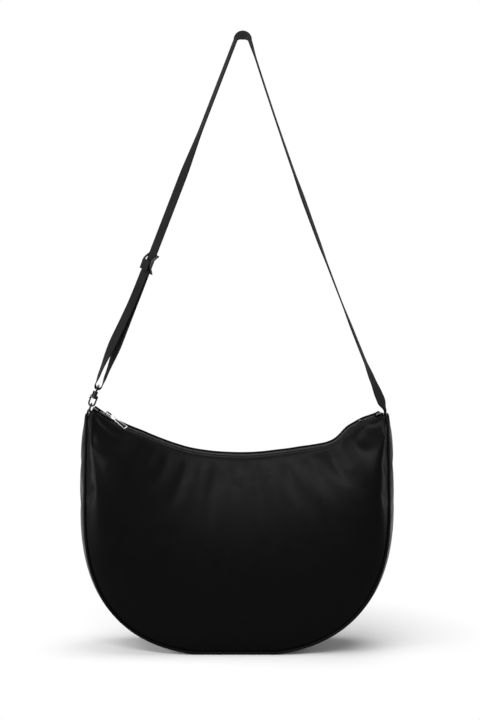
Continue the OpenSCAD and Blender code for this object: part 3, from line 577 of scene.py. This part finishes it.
def coil_path(side):
    shift = 0.5 if side > 0 else 0.0

    def centre(u):
        turn = u * coil_turns + shift
        angle = 2 * pi * turn
        across = side * (COIL_IN + COIL_HALF_W * cos(angle))
        return at_zip(TAPE_END * (2 * turn / (coil_turns + 0.5) - 1)) @ Vector(
            (0, across, COIL_UP + COIL_HALF_H * sin(angle)))
    return centre


for name, side in (("front_coil", -1), ("back_coil", 1)):
    coil = tube(name, coil_path(side), COIL_WIRE_R, coil_turns * COIL_STEPS, COIL_SIDES, 1700)
    dress(coil, coil_nylon, "bag", (name[:-4] + "zip_coil",))


# Stitching along both folds of the mouth.
STITCH_PITCH, STITCH_L, STITCH_R, STITCH_EASE, STITCH_END = 3.3, 2.3, 0.24, 0.1, radians(2.0)
STITCH_ACROSS, STITCH_RISE = 9.9, 1.95


def stitch_row(name, side):
    row_reach = mouth_angle - STITCH_END
    count = int(2 * row_reach * chain_r / STITCH_PITCH)
    deselect()
    bpy.ops.mesh.primitive_cylinder_add(vertices=6, radius=STITCH_R * MM, depth=STITCH_L * MM,
                                        rotation=(0, pi / 2, 0))
    stitch = bpy.context.object
    bpy.ops.object.transform_apply(location=True, rotation=True, scale=True)
    bpy.ops.object.mode_set(mode="EDIT")
    bpy.ops.mesh.select_all(action="SELECT")
    bpy.ops.mesh.bevel(offset=STITCH_EASE * MM, segments=1, affect="EDGES")
    bpy.ops.object.mode_set(mode="OBJECT")
    row = []
    for k in range(count):
        one = stitch.copy()
        one.data = stitch.data.copy()
        scene.collection.objects.link(one)
        place = at_zip(row_reach * (2 * (k + 0.5) / count - 1))
        place.translation = (place @ Vector((0, side * STITCH_ACROSS, STITCH_RISE))) * MM
        one.data.transform(place)
        row.append(one)
    bpy.data.objects.remove(stitch)
    made = join(name, row)
    bpy.ops.object.shade_smooth()
    return dress(made, thread_twist, "bag")


stitch_row("front_stitches", -1)
stitch_row("back_stitches", 1)


# Folded covers over the two ends of the zip: half width, arch, and the path in and up from the corner.
COVER_HALF_W, COVER_ARCH, COVER_T = 9.4, 0.2, 1.0
COVER_PATH = ((-1.8, -2.2), (-1.8, -0.7), (-0.6, -0.3), (0.8, -0.8), (3.0, -2.2), (4.9, -3.6), (5.0, -4.6))


def end_cover(name, side, replaced):
    def point(u, v):
        k = v * (len(COVER_PATH) - 1)
        i = min(int(k), len(COVER_PATH) - 2)
        a, b = np.array(COVER_PATH[i]), np.array(COVER_PATH[i + 1])
        inwards, rise = a + (b - a) * (k - i)
        x = side * (MOUTH_W / 2 - inwards)
        arch = COVER_ARCH * (1 - (2 * u - 1) ** 2)
        return Vector((x, (2 * u - 1) * COVER_HALF_W, CORNER_H + rise + arch + slack(x)))
    cover = lofted(name, 12, 18, point, (19, 10))
    face_out(cover, lambda p: Vector((0, 0, 1)))
    thicken(cover, COVER_T)
    return dress(cover, coated_cloth, "bag", (replaced,))


end_cover("left_end_cover", -1, "left_zip_end_tab")
end_cover("right_end_cover", 1, "right_zip_end_tab")


# Webbing: bands of a flat section with soft edges, swept along stations of
# (x, z, heading from straight up, twist, width, thickness).
def section(width, thickness, side_points=7):
    flat, r = width / 2 - thickness / 2, thickness / 2
    top = [(-flat + 2 * flat * k / side_points, r) for k in range(side_points + 1)]
    ends = [(flat + r * cos(pi / 2 - pi * k / 4), r * sin(pi / 2 - pi * k / 4)) for k in range(1, 4)]
    half = top + ends
    return half + [(-a, -b) for a, b in half]


SECTION_POINTS = len(section(10, 1))
SECTION_GIRTH = 42


def band(name, stations, length):
    def point(u, v):
        x, z, heading, twist, width, thickness = stations[round(u * (len(stations) - 1))]
        a, b = section(width, thickness)[round(v * SECTION_POINTS) % SECTION_POINTS]
        across = Vector((cos(heading), 0, -sin(heading)))
        wide = Vector((-sin(twist) * across.x, cos(twist), -sin(twist) * across.z))
        thick = Vector((cos(twist) * across.x, sin(twist), cos(twist) * across.z))
        return Vector((x, 0, z)) + wide * a + thick * b
    made = lofted(name, len(stations) - 1, SECTION_POINTS, point, (length, SECTION_GIRTH), True, True)
    bpy.ops.object.shade_smooth_by_angle(angle=radians(50))
    return made


def folded_strip(name, path, width, thickness, place, stretch):
    """Webbing folded along a path of (x, z) in the frame of place, with its width along y."""
    def point(u, v):
        i = round(u * (len(path) - 1))
        a, b = section(width, thickness)[round(v * SECTION_POINTS) % SECTION_POINTS]
        before, after = path[max(0, i - 1)], path[min(len(path) - 1, i + 1)]
        ahead = Vector((after[0] - before[0], 0, after[1] - before[1])).normalized()
        across = Vector((ahead.z, 0, -ahead.x))
        return place @ (Vector((path[i][0], a, path[i][1])) + across * b)
    return lofted(name, len(path) - 1, SECTION_POINTS, point, stretch, True, True)


def eased(share, table):
    """A smooth curve through a table of (share, value)."""
    for (a, p), (b, q) in zip(table, table[1:]):
        if share <= b:
            t = (share - a) / (b - a)
            return p + (q - p) * t * t * (3 - 2 * t)
    return table[-1][1]


LEFT_TWIST = ((0, 0), (0.03, 0.3), (0.13, 1), (0.60, 1), (0.76, 0.46), (1, 0.43))
APEX_TWIST = 34
RIGHT_TWIST = ((0, 0.35), (0.05, 0.13), (0.2, 0.13), (0.34, 0.2), (0.42, 0.38), (0.53, 0.3), (0.6, 0.13),
               (0.7, 0.08), (0.78, 0.23), (0.86, 0.27), (0.915, 0.6), (0.958, 0.9), (0.985, 0.95), (1, 0.7))
GATHER = ((0, 1), (0.972, 1), (1, 0))
TAIL_L, TAIL_STEPS = 9, 6
knuckle_run = knuckle_at - bend_at
knuckle_span = float(np.linalg.norm(knuckle_run))
right_angle = atan2(knuckle_run[0], -knuckle_run[1]) - SAG - asin(APEX_R * cos(SAG) / knuckle_span)
right_start = bend_at + APEX_R * np.array((cos(right_angle), sin(right_angle)))
right_chord = float(np.linalg.norm(knuckle_at - right_start))
right_r = right_chord / (2 * sin(SAG))


def loop_station(f):
    b = pi + pi * f
    at = loop_at + LOOP_R * (cos(b) * out + sin(b) * up)
    return (*at, lean + pi * (1 - f), 0, WEBBING_W, WEBBING_T)


def left_station(f):
    at = loop_at + LOOP_R * out + up * left_run * f
    return (*at, lean, radians(TWIST * eased(f, LEFT_TWIST)), WEBBING_W, WEBBING_T)


def apex_station(f):
    a = (pi - lean) * (1 - f) + right_angle * f
    level = TWIST * LEFT_TWIST[-1][1] * (1 - f) + APEX_TWIST * RIGHT_TWIST[0][1] * f
    at = bend_at + APEX_R * np.array((cos(a), sin(a)))
    return (*at, pi - a, radians(level + (APEX_TWIST - level) * sin(pi * f)), WEBBING_W, WEBBING_T)


def right_station(f):
    a = right_angle + 2 * SAG * f
    centre = right_start + right_r * np.array((cos(right_angle), sin(right_angle)))
    at = centre - right_r * np.array((cos(a), sin(a)))
    spread = eased(f, GATHER)
    return (*at, pi - a, radians(APEX_TWIST * eased(f, RIGHT_TWIST)),
            GATHERED_W + (WEBBING_W - GATHERED_W) * spread, 2 * WEBBING_T - WEBBING_T * spread)


end_heading = pi - (right_angle + 2 * SAG)
tail = []
for k in range(1, TAIL_STEPS + 1):
    share = k / TAIL_STEPS
    turn = (end_heading - pi) * max(0, 1 - k / 2) ** 2
    tail.append((knuckle_at[0], knuckle_at[1] - TAIL_L * share, pi + turn,
                 radians(APEX_TWIST * RIGHT_TWIST[-1][1] * (1 - share)), GATHERED_W, 2 * WEBBING_T))
strap_line = ([loop_station(k / 24) for k in range(25)]
              + [left_station(k / 230) for k in range(1, 231)]
              + [apex_station(k / 24) for k in range(1, 25)]
              + [right_station(k / 240) for k in range(1, 241)] + tail)
strap_band = band("strap_band", strap_line, 990)
strap_band.data.materials.append(strap_weave)
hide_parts("strap_webbing", "strap_tail")
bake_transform(strap_band)

# The strand that comes back from the eye to the adjuster.
STRAND = ((0, 0), (0.1, 0.01), (0.22, 0.06), (0.4, 0.32), (0.55, 0.62), (0.7, 0.87), (0.84, 0.97), (1, 1))
STRAND_PLY = 0.45
strand_gap = WEBBING_T + STRAND_PLY
strand_l = ADJUSTER_PLACE - ADJUSTER_L / 2 - SOFT_GAP


def strand_station(f):
    place = strand_l * f
    shares = [p for p, _ in STRAND]
    side = -LOOP_R + (2 * LOOP_R - strand_gap) * float(np.interp(f, shares, [q for _, q in STRAND]))
    at = loop_at + side * out + up * place
    return (*at, lean, radians(TWIST * eased(place / left_run, LEFT_TWIST)), WEBBING_W, WEBBING_T)


strand_line = [strand_station(k / 76) for k in range(77)]
smooth = np.array(strand_line)
for _ in range(6):
    smooth[1:-1, :2] = (smooth[:-2, :2] + 2 * smooth[1:-1, :2] + smooth[2:, :2]) / 4
return_strand = band("return_strand", [tuple(row) for row in smooth], 150)
return_strand.data.materials.append(strap_weave)
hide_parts("loop_strand")
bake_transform(return_strand)

# The sewn end round the adjuster's centre bar, in the adjuster's own frame: x thickness, z up.
STUB_GAP, BAR_R, BAR_GAP, STUB_END = 0.35, 1.0, 0.1, 2
stub_x = -WEBBING_T - STUB_GAP
turn_r = BAR_R + BAR_GAP + WEBBING_T / 2
bar_x = stub_x - turn_r
stub_path = ([(stub_x, -ADJUSTER_L / 2 * (1 - k / 8)) for k in range(9)]
             + [(bar_x + turn_r * cos(pi * k / 10), turn_r * sin(pi * k / 10)) for k in range(1, 10)]
             + [(bar_x - turn_r, -(ADJUSTER_L / 2 - STUB_END) * k / 7) for k in range(8)])
stub_band = folded_strip("stub_band", stub_path, WEBBING_W, WEBBING_T, adjuster, (28, SECTION_GIRTH))
dress(stub_band, strap_weave, "adjuster", ("strap_stub",))

# Ring strip: webbing folded round the ring's bar, its two legs sewn into the corner.
TAB_GAP, TAB_T, TAB_LEG = 0.15, 0.95, 9
tab_r = RING_WIRE_R + TAB_GAP + 0.5
tab_half = RING_ARC_R - RING_WIRE_R - SOFT_GAP
tab_path = ([(tab_r, TAB_LEG * (k / 6 - 1)) for k in range(7)]
            + [(tab_r * cos(pi * k / 10), tab_r * sin(pi * k / 10)) for k in range(1, 10)]
            + [(-tab_r, -TAB_LEG * k / 6) for k in range(7)])
ring_strip = folded_strip("ring_strip", tab_path, 2 * tab_half, TAB_T,
                          Matrix.Translation(place_of(bar_at)), (24, 32))
dress(ring_strip, strap_weave, "bag", ("ring_tab",))

# Hardware: each solid copied, its edges eased as on a cast or moulded part.
def eased_part(name, node_name, body, material, ease=0.2, slim=0.0):
    """A cast or moulded part with soft edges; slim keeps them clear of the parts that it turns against."""
    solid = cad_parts[node_name]
    piece = bpy.data.objects.new(name, solid.data.copy())
    piece.data.name = name
    scene.collection.objects.link(piece)
    take(piece)
    bpy.ops.object.mode_set(mode="EDIT")
    bpy.ops.mesh.select_all(action="SELECT")
    bpy.ops.mesh.remove_doubles(threshold=SOLID_MERGE)
    bpy.ops.mesh.dissolve_limited(angle_limit=radians(1.0))
    bpy.ops.mesh.normals_make_consistent(inside=False)
    bpy.ops.object.mode_set(mode="OBJECT")
    edge = piece.modifiers.new("Eased edges", "BEVEL")
    edge.width, edge.segments, edge.limit_method, edge.angle_limit = ease * MM, 2, "ANGLE", radians(40)
    edge.use_clamp_overlap = True
    apply_all(piece)
    if slim:
        bpy.ops.object.mode_set(mode="EDIT")
        bpy.ops.mesh.select_all(action="SELECT")
        bpy.ops.transform.shrink_fatten(value=-slim * MM)
        bpy.ops.object.mode_set(mode="OBJECT")
    bpy.ops.object.shade_smooth_by_angle(angle=radians(35))
    return dress(piece, material, body, (node_name,))


eased_part("slider_casting", "zip_slider", "slider", slider_plating, 0.3)
eased_part("puller_casting", "zip_puller", "puller", puller_plating, 0.28)
eased_part("adjuster_moulding", "adjuster_frame", "adjuster", buckle_black, 0.25)
eased_part("stop_crimps", "zip_stops", "bag", slider_plating, 0.2)
eased_part("hook_casting", "hook_body", "hook", dark_plating, 0.2, 0.12)
eased_part("gate_casting", "hook_gate", "gate", dark_plating, 0.15)

# The small wire and pin parts keep their solids, with a finish of their own.
for name, material in (("d_ring", dark_plating), ("gate_pin", bright_wire), ("gate_spring", bright_wire),
                       ("swivel_eye", dark_plating), ("corner_bar_tacks", thread_twist),
                       ("stub_bar_tack", thread_twist)):
    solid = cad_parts[name]
    solid.data.materials.clear()
    solid.data.materials.append(material)

# Floor, light and camera.
WHITE = (1, 1, 1, 1)
FLOOR_GREY, FLOOR_ROUGH, FLOOR_SHINE, FLOOR_LIFT = 0.66, 0.9, 0.1, 0.02
SHADOW_NEAR, SHADOW_FAR, AROUND = 0.14, 0.34, 0.25


def plain_rays(nodes, links):
    """1 for a ray from the camera, or one that a shiny or clear face sends on, and 0 for the rest."""
    rays = nodes.new("ShaderNodeLightPath").outputs
    sent_on = maths(nodes, links, "MAXIMUM", rays["Is Glossy Ray"], rays["Is Transmission Ray"])
    return maths(nodes, links, "MAXIMUM", rays["Is Camera Ray"], sent_on)


def mixed(nodes, links, share, first, second):
    made = nodes.new("ShaderNodeMixShader")
    for socket, value in zip(made.inputs, (share, first, second)):
        links.new(value, socket)
    return made.outputs[0]


deselect()
bpy.ops.mesh.primitive_plane_add(size=40, location=(0, 0, 0))
floor = bpy.context.object
floor.name = "floor"
pale, pale_nodes, pale_links, pale_shader = finish("pale_floor")
pale_shader.inputs["Base Color"].default_value = (FLOOR_GREY, FLOOR_GREY, FLOOR_GREY, 1)
pale_shader.inputs["Roughness"].default_value = FLOOR_ROUGH
pale_shader.inputs["Specular IOR Level"].default_value = FLOOR_SHINE
glow = node(pale_nodes, "ShaderNodeEmission", Color=WHITE, Strength=1.0)
lift = node(pale_nodes, "ShaderNodeEmission", Color=WHITE, Strength=FLOOR_LIFT)
lit = pale_nodes.new("ShaderNodeAddShader")
pale_links.new(pale_shader.outputs[0], lit.inputs[0])
pale_links.new(lift.outputs[0], lit.inputs[1])
spread = pale_nodes.new("ShaderNodeVectorMath")
spread.operation = "LENGTH"
pale_links.new(pale_nodes.new("ShaderNodeTexCoord").outputs["Object"], spread.inputs[0])
away = pale_nodes.new("ShaderNodeMapRange")
away.inputs["From Min"].default_value, away.inputs["From Max"].default_value = SHADOW_NEAR, SHADOW_FAR
pale_links.new(spread.outputs["Value"], away.inputs["Value"])
near_far = mixed(pale_nodes, pale_links, away.outputs["Result"], lit.outputs[0], glow.outputs[0])
floor_look = mixed(pale_nodes, pale_links, plain_rays(pale_nodes, pale_links),
                   pale_shader.outputs[0], near_far)
pale_links.new(floor_look, pale_nodes["Material Output"].inputs["Surface"])
floor.data.materials.append(pale)

world = bpy.data.worlds.new("studio")
scene.world = world
world.use_nodes = True
sky, sky_links = world.node_tree.nodes, world.node_tree.links
sky.clear()
around = node(sky, "ShaderNodeBackground", Color=WHITE, Strength=AROUND)
shown = node(sky, "ShaderNodeBackground", Color=WHITE, Strength=1.0)
backdrop = mixed(sky, sky_links, plain_rays(sky, sky_links), around.outputs[0], shown.outputs[0])
sky_links.new(backdrop, sky.new("ShaderNodeOutputWorld").inputs["Surface"])

# Lamps: name, place, aim, width, height, watts.
LAMPS = (("front_high", (-0.65, -1.6, 1.65), (0, 0, 0.25), 2.3, 0.4, 42),
         ("overhead", (0.1, -0.1, 2.1), (0, 0, 0.25), 1.0, 1.0, 13),
         ("rear_high", (0.35, 0.6, 2.0), (0, 0, 0.1), 0.9, 0.9, 10),
         ("left_side", (-1.65, -0.6, 0.6), (0, 0, 0.2), 1.2, 0.7, 36),
         ("right_side", (1.8, 0.0, 0.6), (0, 0, 0.2), 0.4, 1.1, 14))


def turned_to(at, aim):
    return (Vector(aim) - Vector(at)).to_track_quat("-Z", "Y").to_euler()


for name, at, aim, width, height, watts in LAMPS:
    light = bpy.data.lights.new(name, "AREA")
    light.shape, light.size, light.size_y, light.energy = "RECTANGLE", width, height, watts
    lamp = bpy.data.objects.new(name, light)
    scene.collection.objects.link(lamp)
    lamp.location, lamp.rotation_euler = at, turned_to(at, aim)

# The camera: its place and aim, and its lens and shifts in pixels of a picture PICTURE_H high.
CAMERA_AT, CAMERA_AIM, PICTURE_H, SENSOR_H = (0, -3.0, 0.69), (0, 0, 0.38), 720, 24
FOCAL_PX, SHIFT_X_PX, SHIFT_Y_PX = 2412.78, 3, -12.85
camera_data = bpy.data.cameras.new("camera")
camera = bpy.data.objects.new("camera", camera_data)
scene.collection.objects.link(camera)
camera.location, camera.rotation_euler = CAMERA_AT, turned_to(CAMERA_AT, CAMERA_AIM)
camera_data.sensor_fit = "VERTICAL"
camera_data.sensor_height = SENSOR_H
camera_data.lens = FOCAL_PX / PICTURE_H * SENSOR_H
camera_data.shift_x, camera_data.shift_y = SHIFT_X_PX / PICTURE_H, SHIFT_Y_PX / PICTURE_H
scene.camera = camera
scene.view_settings.view_transform = "Standard"

bpy.context.view_layer.update()
